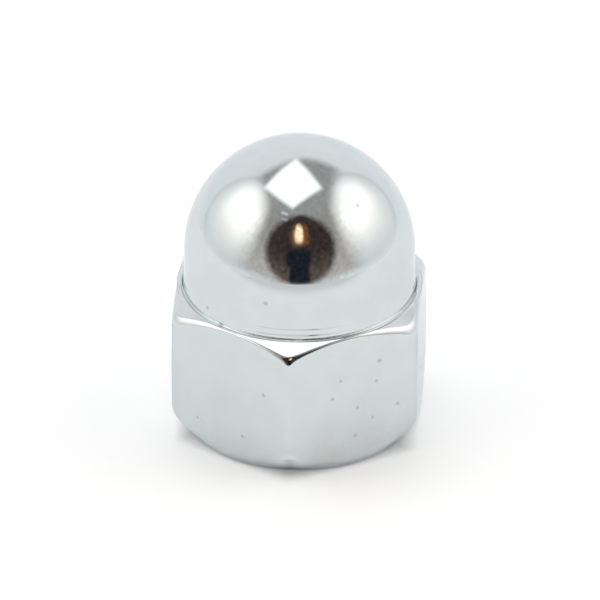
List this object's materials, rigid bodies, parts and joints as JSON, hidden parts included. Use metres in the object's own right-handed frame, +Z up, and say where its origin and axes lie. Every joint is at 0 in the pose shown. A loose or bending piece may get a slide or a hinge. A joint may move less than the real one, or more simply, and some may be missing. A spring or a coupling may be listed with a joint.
{
  "type": "cap nut",
  "caption": "Domed cap nut: a hexagon with a chamfered top, a short round neck and a half-round dome that closes a blind tapped hole.",
  "frame": {"origin": "centre of the bearing face, on the axis of the tapped hole", "axes": "+Z up the axis from the bearing face towards the dome; two opposite corners of the hexagon lie on the X axis"},
  "size_m": [0.0114, 0.01, 0.0124],
  "materials": {
    "chrome_plate": "bright chrome plate, mirror polished"
  },
  "bodies": {
    "root": {"cap_nut": "chrome_plate"}
  },
  "joints": []
}
